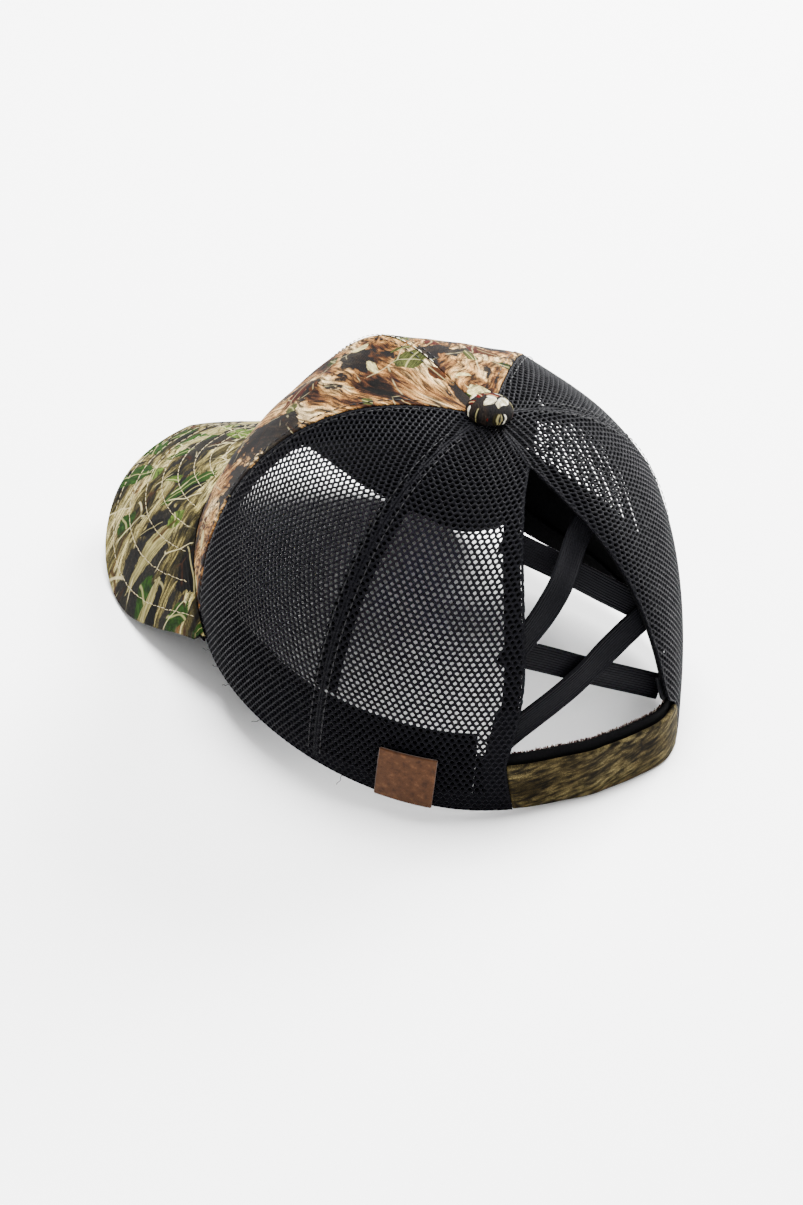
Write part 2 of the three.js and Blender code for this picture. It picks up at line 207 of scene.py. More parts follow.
def placed(points):
    """From the cap's own millimetres to metres on the floor: leaned about X, then shifted."""
    x, y, z = points[..., 0], points[..., 1], points[..., 2]
    c, s = math.cos(LEAN), math.sin(LEAN)
    return (np.stack([x, y * c - z * s, y * s + z * c], -1) + SHIFT) / 1000


print("button seat at", placed(crown(0, 1.0)).round(4))


# %% [markdown]
# ## Building solids from grids
#
# A piece of cloth is a grid of rings. Each ring is the section of a wall, out along the outer face
# and back along the inner one, with a point at half depth that rounds each edge. The same arrays
# give the flat millimetre coordinates of the cloth, which the weave and the print are scaled from.

# %% Grid helpers
def section(columns, outer, inner, edge):
    """Ring of a wall: across from 0 to 1 and back, with the depth at each point."""
    u = np.linspace(0, 1, columns + 1)
    u[0], u[-1] = edge, 1 - edge
    half = (outer + inner) / 2
    across = np.concatenate([[0], u, [1], u[::-1]])
    depth = np.concatenate([[half], np.full(columns + 1, outer), [half], np.full(columns + 1, inner)])
    return across, depth


def loft(points):
    """Faces of a closed tube of rings, points[row, ring, xyz], with both ends closed."""
    rows, ring = points.shape[:2]
    i, j = np.meshgrid(np.arange(rows - 1), np.arange(ring), indexing="ij")
    k = (j + 1) % ring
    faces = np.stack([i * ring + j, i * ring + k, (i + 1) * ring + k, (i + 1) * ring + j], -1)
    faces = faces.reshape(-1, 4).tolist()
    for row, order in ((0, -1), (rows - 1, 1)):
        for a in range(ring // 2):
            quad = list(dict.fromkeys([a, a + 1, ring - a - 1, (ring - a) % ring]))
            faces.append([row * ring + v for v in quad[::order]])
    flat = points.reshape(-1, 3)
    quads = np.array([f for f in faces if len(f) == 4])
    a, b, c, d = (flat[quads[:, n]] for n in range(4))
    volume = (a * np.cross(b, c)).sum() + (a * np.cross(c, d)).sum()
    return faces if volume > 0 else [f[::-1] for f in faces]


def flat_sizes(points, across):
    """Flat millimetres of the cloth at each point: across from the middle, and along."""
    half = points.shape[1] // 2
    width = np.linalg.norm(np.diff(points[:, 1:half], axis=1), axis=2).sum(1)
    steps = np.linalg.norm(np.diff(points[:, half // 2], axis=0), axis=1)
    length = np.concatenate([[0], np.cumsum(steps)])
    return np.stack([(across[None] - 0.5) * width[:, None],
                     np.broadcast_to(length[:, None], points.shape[:2])], -1)


def joined(parts):
    """Several (points, faces, flat) pieces as one."""
    points, faces, flats, start = [], [], [], 0
    for p, f, uv in parts:
        points.append(p.reshape(-1, 3))
        flats.append(uv.reshape(-1, 2))
        faces += [[v + start for v in face] for face in f]
        start += len(points[-1])
    return np.concatenate(points), faces, np.concatenate(flats)


def make(name, part, material, node=None, inside=None, ring=0):
    """A finished object from a (points, faces, flat) piece, with its cloth coordinates as a UV map.
    A second cloth, if there is one, goes on the faces of the inner half of each ring: a lining on the
    front panels, and a painted shade under the brim."""
    name = "sewn_" + name.replace(" ", "_")
    points, faces, flat = part
    mesh = bpy.data.meshes.new(name)
    mesh.from_pydata(placed(points.reshape(-1, 3)).tolist(), [], faces)
    mesh.polygons.foreach_set("use_smooth", np.ones(len(mesh.polygons), bool))
    loops = np.zeros(len(mesh.loops), np.int32)
    mesh.loops.foreach_get("vertex_index", loops)
    layer = mesh.uv_layers.new(name="cloth")
    layer.data.foreach_set("uv", (flat.reshape(-1, 2)[loops] / 100).ravel())
    mesh.materials.append(material)
    if inside:
        mesh.materials.append(inside)
        inner = np.arange(len(mesh.polygons)) % ring >= ring // 2
        mesh.polygons.foreach_set("material_index", inner.astype(np.int32))
    mesh.update()
    thing = bpy.data.objects.new(name, mesh)
    bpy.context.scene.collection.objects.link(thing)
    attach(thing, "root")
    if node:
        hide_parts(node)
    print(f"{name}: {len(points.reshape(-1, 3))} points, {len(faces)} faces")
    return thing


def wall(point, rows, columns, outer, inner, edge=0.01):
    """A closed wall through point(row, across, depth)."""
    across, depth = section(columns, outer, inner, edge)
    points = point(np.asarray(rows)[:, None], across[None], depth[None])
    return points, loft(points), flat_sizes(points, across)


def strip(edge, near, far, low, high, rows, depth, thick, columns=6):
    """A strip that follows an edge up the crown, between two distances from it."""
    climbs = even_climbs(edge(0.3), low, high, rows)

    def point(climb, across, d):
        a = around(edge(climb), climb, near)
        b = around(edge(climb), climb, far)
        return skin(a + (b - a) * across, climb, d)
    return wall(point, climbs, columns, depth, depth + thick, 0.06)


def band(start, end, low, high, rows, depth, thick, columns=10, ragged=0.0):
    """A level band around the hem, between two upright edges and two heights."""
    steps = np.linspace(0, 1, rows)
    tops = 1 + ragged * rng.normal(0, 1, rows) / max(high - low, 1)

    def point(v, across, d):
        high_here = low + (high - low) * np.interp(v, steps, tops)
        height = low + (high_here - low) * across
        near = start(0.0) + (end(0.0) - start(0.0)) * v
        climb = climb_at(near, hem(near)[..., 2] + height)
        turn = start(climb) + (end(climb) - start(climb)) * v
        return skin(turn, climb_at(turn, hem(turn)[..., 2] + height), d)
    return wall(point, steps, columns, depth, depth + thick, 0.03)


def stitches(path, normals, stitch=2.4, skip=0.9, radius=0.2, lift=0.1):
    """Sewn thread along a line: each stitch is a small capsule from s to s + stitch, thick
    as sqrt(sin) at its ends and lifted in the middle."""
    steps = np.linalg.norm(np.diff(path, axis=0), axis=1)
    length = np.concatenate([[0], np.cumsum(steps)])
    starts = np.arange(0, length[-1] - stitch, stitch + skip)
    starts = starts + rng.normal(0, 0.08, len(starts))
    t = np.linspace(0, 1, 6)
    s = starts[:, None] + t[None] * stitch
    centre = np.stack([np.interp(s, length, path[:, k]) for k in range(3)], -1)
    up = unit(np.stack([np.interp(s, length, normals[:, k]) for k in range(3)], -1))
    run = unit(np.gradient(centre, axis=1))
    side = np.cross(run, up)
    fat = radius * np.sqrt(np.sin(np.pi * np.clip(t, 0.03, 0.97)))[None, :, None, None]
    centre = centre + up * (lift * np.sin(np.pi * t))[None, :, None]
    a = np.linspace(0, 2 * np.pi, 6, endpoint=False)
    ring = side[:, :, None] * np.cos(a)[None, None, :, None]
    ring = ring + up[:, :, None] * np.sin(a)[None, None, :, None]
    points = centre[:, :, None] + ring * fat
    n, rows, sides = points.shape[:3]
    i, j = np.meshgrid(np.arange(rows - 1), np.arange(sides), indexing="ij")
    k = (j + 1) % sides
    one = np.stack([i * sides + j, i * sides + k, (i + 1) * sides + k, (i + 1) * sides + j], -1)
    block = rows * sides
    faces = (one.reshape(1, -1, 4) + np.arange(n)[:, None, None] * block).reshape(-1, 4).tolist()
    for m in range(n):
        faces.append([m * block + q for q in range(sides)][::-1])
        faces.append([m * block + (rows - 1) * sides + q for q in range(sides)])
    flat = np.zeros((n * block, 2))
    flat[:, 0] = np.repeat(np.arange(n), block) * 3.1
    return points.reshape(-1, 3), faces, flat


def seam_line(turn, low, high, offset, raise_by=0.12, count=220):
    """Points and normals along a line some millimetres beside a seam."""
    climbs = even_climbs(turn, low, high, count)
    turns = around(np.full(count, float(turn)), climbs, offset)
    return skin(turns, climbs, -raise_by), outward(turns, climbs)


# %% [markdown]
# ## Materials
#
# Colours are given as they look on a screen and turned into the linear values that the renderer
# works in. The print is painted by formulas on the cloth's own flat coordinates, so a leaf is as
# many millimetres long on the brim as on the panels. An image would fix one scale and one layout.

# %% Shader helpers
def linear(code):
    """sRGB hex to linear: c/12.92 below 0.04045, else ((c + 0.055)/1.055)^2.4."""
    values = [int(code[i:i + 2], 16) / 255 for i in (1, 3, 5)]
    return tuple(v / 12.92 if v <= 0.04045 else ((v + 0.055) / 1.055) ** 2.4 for v in values) + (1,)


def node(tree, kind, settings=None, **inputs):
    """Adds a shader node; inputs are constants or the outputs of other nodes."""
    made = tree.nodes.new(kind)
    for key, value in (settings or {}).items():
        setattr(made, key, value)
    for key, value in inputs.items():
        numbered = key[0] == "i" and key[1:].isdigit()
        socket = made.inputs[int(key[1:]) if numbered else key.replace("_", " ")]
        if hasattr(value, "is_linked"):
            tree.links.new(value, socket)
        else:
            socket.default_value = value
    return made


def maths(tree, operation, a, b=0.0, c=0.0):
    return node(tree, "ShaderNodeMath", {"operation": operation}, i0=a, i1=b, i2=c).outputs[0]


def vectors(tree, operation, a, b=(0, 0, 0)):
    return node(tree, "ShaderNodeVectorMath", {"operation": operation}, i0=a, i1=b).outputs[0]


def mix(tree, amount, a, b):
    made = node(tree, "ShaderNodeMix", {"data_type": "RGBA"}, i0=amount, i6=a, i7=b)
    return made.outputs[2]


def ramp(tree, value, stops, smooth_steps=True):
    made = node(tree, "ShaderNodeValToRGB", i0=value)
    made.color_ramp.interpolation = "EASE" if smooth_steps else "CONSTANT"
    points = made.color_ramp.elements
    while len(points) < len(stops):
        points.new(0.5)
    for point, (at, colour) in zip(points, stops):
        point.position, point.color = at, linear(colour)
    return made.outputs[0]


def start_material(name, roughness, sheen=0.0, specular=0.3):
    material = bpy.data.materials.new(name)
    material.use_nodes = True
    tree = material.node_tree
    shader = tree.nodes["Principled BSDF"]
    shader.inputs["Roughness"].default_value = roughness
    shader.inputs["Sheen Weight"].default_value = sheen
    shader.inputs["Specular IOR Level"].default_value = specular
    place = node(tree, "ShaderNodeUVMap", {"uv_map": "cloth"}).outputs[0]
    flat = vectors(tree, "MULTIPLY", place, (100, 100, 0))
    return material, tree, shader, flat


def noise(tree, where, scale, detail=3.0, stretch=(1, 1, 1), offset=(0, 0, 0), colour=False):
    """Noise with features about 1/scale mm wide, stretched along an axis."""
    moved = vectors(tree, "ADD", vectors(tree, "MULTIPLY", where, stretch), offset)
    made = node(tree, "ShaderNodeTexNoise", Vector=moved, Scale=scale, Detail=detail, Roughness=0.6)
    return made.outputs[1 if colour else 0]


def bump(tree, shader, height, distance, strength=1.0, under=None):
    made = node(tree, "ShaderNodeBump", Strength=strength, Distance=distance, Height=height)
    if under is not None:
        tree.links.new(under, made.inputs["Normal"])
    tree.links.new(made.outputs[0], shader.inputs["Normal"])
    return made.outputs[0]


def stretch_range(tree, value, low, high, bottom=0.0, top=1.0):
    """Maps low..high to bottom..top in a straight line, and holds the ends."""
    return node(tree, "ShaderNodeMapRange", Value=value, i1=low, i2=high, i3=bottom, i4=top).outputs[0]


def spun(tree, where, angle):
    """The flat coordinates turned by an angle."""
    settings = {"rotation_type": "Z_AXIS"}
    return node(tree, "ShaderNodeVectorRotate", settings, Vector=where, Angle=angle).outputs[0]


def cell_edges(tree, where, scale):
    """Distance to the edge of a Voronoi cell about 1/scale mm wide."""
    settings = {"feature": "DISTANCE_TO_EDGE"}
    return node(tree, "ShaderNodeTexVoronoi", settings, Vector=where, Scale=scale).outputs[0]


def bands(tree, where, pitch, turn=0.0):
    """Lines at a pitch in mm: the wave texture repeats every 2 pi / 20 at scale 1."""
    turned = spun(tree, where, turn)
    return node(tree, "ShaderNodeTexWave", Vector=turned, Scale=2 * math.pi / (20 * pitch)).outputs[1]


print("shader helpers ready")


# %% Cotton twill with a woodland print
# how much light the dyed cloth gives back, and the power that deepens its darker dyes
INK, DEPTH_OF_DYE = 0.8, 1.4


def leaves(tree, where, size, seed, keep):
    """Leaf shapes: one to a cell of a Voronoi pattern, turned by its cell's own random value.
    Inside when |across| < w (1 - (along / l)²), with a thin vein down the middle."""
    spot = vectors(tree, "ADD", where, (seed * 91.0, seed * 57.0, 0))
    cells = node(tree, "ShaderNodeTexVoronoi", Vector=spot, Scale=1 / size, Randomness=0.9)
    away = vectors(tree, "SUBTRACT", spot, cells.outputs[2])
    split = node(tree, "ShaderNodeSeparateColor", i0=cells.outputs[1])
    angle = maths(tree, "MULTIPLY", split.outputs[0], 6.28)
    turned = spun(tree, away, angle)
    part = node(tree, "ShaderNodeSeparateXYZ", i0=turned)
    length = maths(tree, "DIVIDE", part.outputs[0], size * 0.6)
    bow = maths(tree, "SUBTRACT", 1.0, maths(tree, "MULTIPLY", length, length))
    ragged = maths(tree, "MULTIPLY", noise(tree, where, 0.6, 4), 0.2 * size)
    width = maths(tree, "MULTIPLY_ADD", bow, 0.36 * size, maths(tree, "MULTIPLY", ragged, -1.0))
    across = maths(tree, "ABSOLUTE", part.outputs[1])
    inside = maths(tree, "SUBTRACT", width, across)
    mask = stretch_range(tree, inside, 0.0, 0.25)
    chosen = maths(tree, "LESS_THAN", split.outputs[1], keep)
    vein = stretch_range(tree, across, 0.1, 0.4)
    return maths(tree, "MULTIPLY", mask, chosen), split.outputs[2], vein, turned


def printed(name, bark, leaf_colours, leaf_keep, seed, dark, leaf_size, tilt, warp, twigs):
    """Printed cotton twill: bark streaks with cracks, charcoal gaps, two layers of leaves, twigs.
    leaf_keep is the share of leaves shown, and more is charcoal where dark is lower."""
    material, tree, shader, flat = start_material(name, 0.9, 0.0, 0.06)
    where = vectors(tree, "ADD", spun(tree, flat, tilt), (seed * 37.0, seed * 61.0, 0))
    drift = vectors(tree, "SUBTRACT", noise(tree, where, 0.03, 2, colour=True), (0.5, 0.5, 0.5))
    bent = vectors(tree, "ADD", where, vectors(tree, "MULTIPLY", drift, (warp, warp, 0)))
    wood = ramp(tree, noise(tree, bent, 0.075, 10, (1, 0.35, 1)), bark)
    grain = noise(tree, bent, 0.9, 8, (1, 0.16, 1))
    wood = vectors(tree, "MULTIPLY", wood, stretch_range(tree, grain, 0.38, 0.62, 0.18, 1.5))
    speck = noise(tree, where, 2.2, 3)
    wood = vectors(tree, "MULTIPLY", wood, stretch_range(tree, speck, 0.36, 0.64, 0.55, 1.35))
    knots = vectors(tree, "MULTIPLY", bent, (1, 0.25, 1))
    crack = stretch_range(tree, cell_edges(tree, knots, 0.12), 0.0, 0.06, 1.0, 0.0)
    gate = stretch_range(tree, noise(tree, where, 0.06, 3), 0.45, 0.55, 0.0, 0.9)
    colour = mix(tree, maths(tree, "MULTIPLY", crack, gate), wood, linear("#1d1916"))
    hollow = noise(tree, bent, 0.03, 6, (1, 0.5, 1), (11, 5, 0))
    hollow = stretch_range(tree, hollow, dark, dark + 0.012, 0.0, 0.95)
    gap = ramp(tree, speck, [(0.3, "#0f0f10"), (0.5, "#232225"), (0.7, "#3b3936")])
    colour = mix(tree, hollow, colour, gap)
    for layer, size in enumerate((leaf_size, leaf_size * 0.55)):
        mask, pick, vein, own = leaves(tree, bent, size, seed + layer * 3, leaf_keep)
        leaf = ramp(tree, pick, leaf_colours, False)
        streaks = noise(tree, own, 1.3, 6, (0.25, 1, 1))
        leaf = vectors(tree, "MULTIPLY", leaf, stretch_range(tree, streaks, 0.35, 0.65, 0.35, 1.35))
        pale = maths(tree, "MULTIPLY", maths(tree, "SUBTRACT", 1.0, vein), 0.6)
        leaf = mix(tree, pale, leaf, linear("#c2ba90"))
        colour = mix(tree, mask, colour, leaf)
    for size, shade in ((0.03, "#4a2f18"), (0.05, "#cfc6a2")):
        paths = vectors(tree, "ADD", bent, (size * 900, 7, 0))
        twig = stretch_range(tree, cell_edges(tree, paths, size), 0.006, 0.015, twigs, 0.0)
        open_place = stretch_range(tree, noise(tree, where, 0.07, 2), 0.48, 0.54, 0.0, 1.0)
        colour = mix(tree, maths(tree, "MULTIPLY", twig, open_place), colour, linear(shade))
    twill = bands(tree, flat, 0.55, 0.6)
    colour = mix(tree, maths(tree, "MULTIPLY", twill, 0.14), colour, linear("#100f0b"))
    colour = node(tree, "ShaderNodeGamma", i0=colour, i1=DEPTH_OF_DYE).outputs[0]
    colour = vectors(tree, "MULTIPLY", colour, (INK, INK, INK))
    tree.links.new(colour, shader.inputs["Base Color"])
    soft = bump(tree, shader, noise(tree, flat, 0.12, 2), 0.0006, 0.35)
    bump(tree, shader, twill, 0.00012, 0.6, soft)
    return material


BARK = [(0.36, "#17130f"), (0.43, "#553a28"), (0.49, "#947149"), (0.55, "#be9d6f"), (0.63, "#dbc6a0")]
LEAF_MIX = [(0, "#3d4a24"), (0.28, "#5f3d22"), (0.5, "#5c6038"), (0.68, "#c5bb90"), (0.86, "#5c2d1c")]
FOREST = [(0.36, "#121109"), (0.44, "#4e482f"), (0.5, "#8c8259"), (0.57, "#bcb287"), (0.65, "#664628")]
BRIM_LEAF = [(0, "#36541d"), (0.34, "#63753a"), (0.56, "#131210"), (0.74, "#9a9269"), (0.92, "#5c1810")]
BUTTON_LEAF = [(0, "#ece8da"), (0.45, "#131210"), (0.6, "#6b1c12"), (0.8, "#d8d2ba"), (0.9, "#3b3720")]
OLIVE = [(0.34, "#3a3320"), (0.42, "#5a5139"), (0.52, "#6d6449"), (0.62, "#776e53"), (0.7, "#60573d")]
panel_print = printed("printed cotton twill, bark", BARK, LEAF_MIX, leaf_keep=0.12, seed=3,
                      dark=0.545, leaf_size=18.0, tilt=0.5, warp=12.0, twigs=0.5)
brim_print = printed("printed cotton twill, leaves", FOREST, BRIM_LEAF, leaf_keep=0.55, seed=5,
                     dark=0.52, leaf_size=22.0, tilt=1.1, warp=12.0, twigs=0.8)
band_print = printed("printed cotton twill, olive", OLIVE, BRIM_LEAF, leaf_keep=0.0, seed=2,
                     dark=0.62, leaf_size=17.0, tilt=0.2, warp=5.0, twigs=0.0)
button_print = printed("printed cotton twill, button", BARK, BUTTON_LEAF, leaf_keep=0.85, seed=12,
                       dark=0.4, leaf_size=7.5, tilt=0.3, warp=4.0, twigs=0.0)
print("printed twill:", len(panel_print.node_tree.nodes), "nodes")


# %% Black cloths, elastic, suede and thread
def plain(name, colour, roughness, pitch, sheen=0.2, strength=0.5, depth=0.00012, specular=0.3):
    """A plain cloth with a fine square weave."""
    material, tree, shader, flat = start_material(name, roughness, sheen, specular)
    fleck = noise(tree, flat, 0.8, 3)
    tint = stretch_range(tree, fleck, 0.3, 0.7, 0.75, 1.25)
    tree.links.new(vectors(tree, "MULTIPLY", linear(colour)[:3], tint), shader.inputs["Base Color"])
    weave = maths(tree, "MULTIPLY", bands(tree, flat, pitch), bands(tree, flat, pitch, math.pi / 2))
    bump(tree, shader, weave, depth, strength)
    return material


def ribbed(name, colour, pitch):
    """Woven elastic: ribs run along the strap, crossed by the fine turns of the cover yarn."""
    material, tree, shader, flat = start_material(name, 0.6, 0.0, 0.05)
    fleck = stretch_range(tree, noise(tree, flat, 1.2, 3), 0.3, 0.7, 0.7, 1.4)
    tree.links.new(vectors(tree, "MULTIPLY", linear(colour)[:3], fleck), shader.inputs["Base Color"])
    yarn = bump(tree, shader, bands(tree, flat, 0.45, math.pi / 2), 0.00008, 0.5)
    bump(tree, shader, bands(tree, flat, pitch), 0.00025, 0.8, yarn)
    return material


def suede_leather(name):
    """Suede: a soft nap with cloudy darker and lighter areas."""
    material, tree, shader, flat = start_material(name, 0.95, 0.1, 0.1)
    browns = [(0.3, "#2a190f"), (0.5, "#3c2515"), (0.7, "#50331f")]
    cloud = ramp(tree, noise(tree, flat, 0.35, 6), browns)
    tree.links.new(cloud, shader.inputs["Base Color"])
    bump(tree, shader, noise(tree, flat, 2.5, 5), 0.0002, 0.7)
    return material


mesh_yarn = plain("polyester mesh, black", "#06060a", 0.5, 0.35, 0.0, 0.7, 0.0001, 0.05)
tape_cloth = plain("woven cotton tape, black", "#040405", 0.9, 0.6, 0.0, 0.5, 0.00012, 0.05)
# the black sweatband cloth also serves as painted shade under the brim and below the right hem
sweatband_and_shade_cloth = plain("brushed cotton sweatband and painted shade, black", "#030304", 0.95, 0.7, 0.0, 0.5, 0.00012, 0.04)
elastic = ribbed("ribbed elastic, black", "#07070a", 0.9)
suede = suede_leather("suede leather, brown")
dark_thread = plain("polyester thread, black", "#0e0e10", 0.6, 0.3, 0.0)
pale_thread = plain("polyester thread, khaki", "#958a68", 0.7, 0.3, 0.0)
white_thread = plain("polyester thread, off-white", "#c9c2a9", 0.7, 0.3, 0.0)


def frayed(name):
    """Frayed cut edge: noise picks black, dark red and off-white ends of yarn."""
    material, tree, shader, flat = start_material(name, 0.9, 0.0, 0.1)
    fleck = noise(tree, flat, 0.9, 5)
    ends = ramp(tree, fleck, [(0.4, "#0b0a0a"), (0.5, "#3d1c1e"), (0.56, "#8f867a"), (0.64, "#cfc8bc")])
    tree.links.new(ends, shader.inputs["Base Color"])
    return material


cut_edge = frayed("frayed cotton edge")
print("materials:", len(bpy.data.materials))


# %% [markdown]
# ## Mesh panels
#
# The mesh is real strands, so light falls through it onto the floor inside the cap. A flat lattice
# of holes, two and a half millimetres apart, is laid on the crown by arc length from a seam. Each
# cell is a six-sided ring whose outer line is the ridge of a strand and whose inner line is the
# edge of a hole. An alpha texture would be lighter, but it would lose the thickness of the yarn.

# %% The lattice
PITCH, ROW, STRAND = 2.5, 1.75, 0.8
HOLE = 0.54
RINGS = ((1.0, 0.0), (0.76, 0.1), (HOLE, 0.5), (0.76, 0.9), (1.0, 1.0))


def crown_map(reference, low, high):
    """Tables between flat millimetres and (turn, climb): h is the arc up the reference turn,
    s the arc around from it."""
    climbs = even_climbs(reference, 0.0, 0.9985, 160)
    turns = np.linspace(low - 4, high + 4, 120)
    grid = crown(turns[None], climbs[:, None])
    around_steps = np.linalg.norm(np.diff(grid, axis=1), axis=2)
    arc = np.concatenate([np.zeros((len(climbs), 1)), np.cumsum(around_steps, 1)], 1)
    arc -= np.array([np.interp(reference, turns, row) for row in arc])[:, None]
    up = np.linalg.norm(np.diff(crown(reference, climbs), axis=0), axis=1)
    return climbs, turns, arc, np.concatenate([[0], np.cumsum(up)])


def net(reference, low_edge, high_edge, low, high):
    """A panel of mesh between two edges, as points, faces and flat coordinates."""
    climbs, turns, arc, heights = crown_map(reference, low, high)
    near = np.array([np.interp(t, turns, row) for t, row in zip(low_edge(climbs), arc)])
    far = np.array([np.interp(t, turns, row) for t, row in zip(high_edge(climbs), arc)])
    columns = np.arange(math.floor(near.min() / PITCH) - 1, math.ceil(far.max() / PITCH) + 2)
    rows = np.arange(0, math.ceil(heights[-1] / ROW) + 1)
    j, i = np.meshgrid(rows, columns, indexing="ij")
    centre = np.stack([(i + 0.5 * (j % 2)) * PITCH, j * ROW + 0.4], -1).reshape(-1, 2)
    inside_low = np.interp(centre[:, 1], heights, near) - PITCH * 0.3
    inside_high = np.interp(centre[:, 1], heights, far) + PITCH * 0.3
    keep = (centre[:, 0] > inside_low) & (centre[:, 0] < inside_high) & (centre[:, 1] < heights[-1])
    centre = centre[keep]
    tall = ROW / 2 + PITCH ** 2 / (8 * ROW)
    short = ROW - tall
    corner = np.array([(0, tall), (-PITCH / 2, short), (-PITCH / 2, -short), (0, -tall),
                       (PITCH / 2, -short), (PITCH / 2, short)])
    knot = np.array([1, 0, 0, 1, 0, 0])
    layers = []
    for scale, level in RINGS:
        xy = centre[:, None] + corner[None] * scale
        if scale < 1:
            xy = xy + rng.normal(0, 0.07, xy.shape)
        swell = 0.1 * knot[None] * (1 - 2 * level) * (scale == 1)
        depth = np.full(xy.shape[:2], 0.35 + STRAND * level) - swell
        layers.append(np.concatenate([xy, depth[..., None]], -1))
    cloud = np.stack(layers, 1).reshape(-1, 3)
    keys = np.round(cloud * 200).astype(np.int64)
    _, first, back = np.unique(keys, axis=0, return_index=True, return_inverse=True)
    cloud, back = cloud[first], back.reshape(len(centre), len(RINGS), 6)
    a, b = back[:, :-1], back[:, 1:]
    faces = np.stack([a, np.roll(a, -1, 2), np.roll(b, -1, 2), b], -1).reshape(-1, 4)
    h = np.clip(cloud[:, 1], 0, heights[-1])
    s = np.clip(cloud[:, 0], np.interp(h, heights, near), np.interp(h, heights, far))
    climb = np.interp(h, heights, climbs)
    place = np.interp(h, heights, np.arange(len(climbs)))
    k = np.clip(place.astype(int), 0, len(climbs) - 2)
    part = place - k
    table = np.array([np.interp(np.linspace(-90, 90, 361), row, turns) for row in arc])
    q = np.clip((s + 90) * 2, 0, 359.999)
    n = q.astype(int)
    f = q - n
    turn = ((table[k, n] * (1 - f) + table[k, n + 1] * f) * (1 - part)
            + (table[k + 1, n] * (1 - f) + table[k + 1, n + 1] * f) * part)
    points = skin(turn, climb, cloud[:, 2])
    return points, faces.tolist(), np.stack([s, h], -1)


def mesh_panel(name, reference, low_edge, high_edge, low, high, fold=None, top=0.985):
    """Mesh with a turned edge of solid cloth along each side, and a wider fold low down
    beside the opening, where the end of the sweatband is covered."""
    parts = [net(reference, low_edge, high_edge, low, high)]
    parts.append(strip(low_edge, 0.1, 1.0, 0.004, top, 90, 0.45, 0.4))
    parts.append(strip(high_edge, -1.0, -0.1, 0.004, top, 90, 0.45, 0.4))
    parts.append(band(low_edge, high_edge, -0.1, 7, 60, 0.95, 0.45))
    if fold:
        parts.append(strip(*fold, 0.004, float(climb_at(180.0, 38.0)), 40, 0.95, 0.45))
    return make(name, joined(parts), mesh_yarn, name)


# %% Side and rear panels
for word, side in (("left", 1), ("right", -1)):
    front, rear = side * FRONT_SEAM, side * REAR_SEAM
    low, high = sorted((front, rear))
    mesh_panel(f"side_panel_{word}", side * 87.0, lambda c, t=low: np.full(np.shape(c), float(t)),
               lambda c, t=high: np.full(np.shape(c), float(t)), low, high)
    seam = lambda c, t=rear: np.full(np.shape(c), float(t))
    opening = lambda c, s=side: s * rear_edge(np.asarray(c), s)
    edges = (seam, opening) if side > 0 else (opening, seam)
    fold = (opening, *sorted((side * -9.0, side * -0.2)))
    mesh_panel(f"rear_panel_{word}", side * 128.0, *edges, *sorted((rear, side * 180.0)), fold)


# %% [markdown]
# ## Printed front panels
#
# Two panels of twill meet at the front seam. They are plain walls on the crown surface with small
# soft waves, since the stiff cloth holds its shape. The seams are shown by the threads beside them.

# %% Front panels
def soft_waves(turn, climb):
    """Shallow puckers: a sum of three slow sines, fading at the hem."""
    fade = np.sin(np.pi * np.clip(climb, 0, 1)) ** 0.7
    waves = (np.sin(turn * 0.21 + climb * 7) + np.sin(turn * 0.33 - climb * 11 + 1)
             + np.sin(climb * 19 + turn * 0.07 + 2))
    return 0.22 * fade * waves


CUT_APART = 270  # mm between the two panels on the cloth


def front_panel(name, low, high):
    """Each panel is cut from its own place on the cloth, so the print doesn't repeat."""
    climbs = even_climbs((low + high) / 2, 0, 0.9985, 110)

    def point(climb, across, depth):
        a = around(low, climb, 0.15)
        b = around(high, climb, -0.15)
        turn = a + (b - a) * across
        return skin(turn, climb, depth + soft_waves(turn, climb) * (4 * across * (1 - across)))
    points, faces, flat = wall(point, climbs, 70, 0, CLOTH, 0.006)
    part = (points, faces, flat + (CUT_APART if low == 0 else 0))
    ring = points.shape[1]
    return make(name, part, panel_print, name, sweatband_and_shade_cloth, ring)


front_panel("front_panel_left", 0, FRONT_SEAM)
front_panel("front_panel_right", -FRONT_SEAM, 0)

# %% Threads along the seams
centre_seam = [stitches(*seam_line(0, 0.04, 0.93, 0.0, 0.25), 2.4, 1.0, 0.22)]
make("front seam thread", joined(centre_seam), white_thread)
rows = []
for side in (1, -1):
    rows.append(stitches(*seam_line(0, 0.03, 0.93, side * 2.6), 2.4, 0.8, 0.18))
    for seam, offsets in ((FRONT_SEAM, (-3, 2.6)), (REAR_SEAM, (-2.6, 2.6))):
        for offset in offsets:
            rows.append(stitches(*seam_line(side * seam, 0.03, 0.92, side * offset), 2.4, 0.8, 0.2))
make("seam threads", joined(rows), dark_thread)


# %% [markdown]
# ## Brim
#
# The brim is a curved board covered in twill. It grows from the hem to its outer edge, and a row
# of stitching every six millimetres follows that edge. Each row pulls the cloth into a groove.

# %% Brim surface
BRIM_TURN, BRIM_HALF_WIDTH, BRIM_REACH = 70, 78.3, 136.5
BRIM_THICK, BRIM_TIP_THICK, BRIM_DOME = 3, 1.8, 2
BRIM_LEFT = [(0, -14.2), (30, -21), (45, -27.5), (60, -31.8), (72, -28.5), (82, -16), (90, 0)]
BRIM_RIGHT = [(0, -14.2), (30, -21), (45, -27.5), (60, -31.8), (72, -29.8), (82, -23), (90, 0)]
BRIM_CURL = 0.13
BRIM_ROWS = np.arange(3.2, 60, 6.0)
brim_tip = hem(float(BRIM_TURN))


def brim_seat(turn, height):
    climb = climb_at(turn, hem(turn)[..., 2] + np.maximum(height, 0))
    point = skin(turn, climb, -SEAT)
    point[..., 2] += np.minimum(height, 0)
    return point


